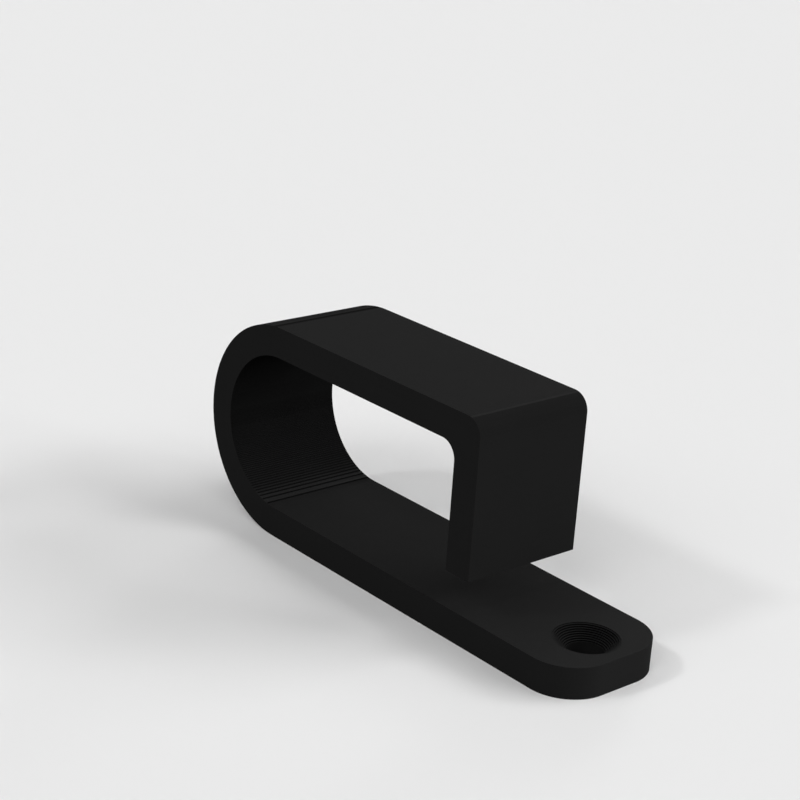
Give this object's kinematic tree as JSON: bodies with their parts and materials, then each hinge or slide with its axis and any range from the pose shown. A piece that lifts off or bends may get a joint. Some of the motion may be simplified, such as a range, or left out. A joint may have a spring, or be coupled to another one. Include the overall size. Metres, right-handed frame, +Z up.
{
  "type": "screw-mount cable clip",
  "caption": "One-piece printed strip bent into a flat cable loop, open at a low mouth under its arm, with a countersunk screw tab.",
  "frame": {"origin": "where the screw hole's axis meets the clip's flat underside", "axes": "+X along the clip from the loop towards the screw tab's end, +Y across the strip, +Z up out of the screw hole"},
  "size_m": [0.0605, 0.015, 0.025],
  "materials": {
    "printed_plastic": "black printed plastic, matt, with fine layer lines where it slopes"
  },
  "bodies": {
    "root": {"cable_clip": "printed_plastic"}
  },
  "joints": []
}
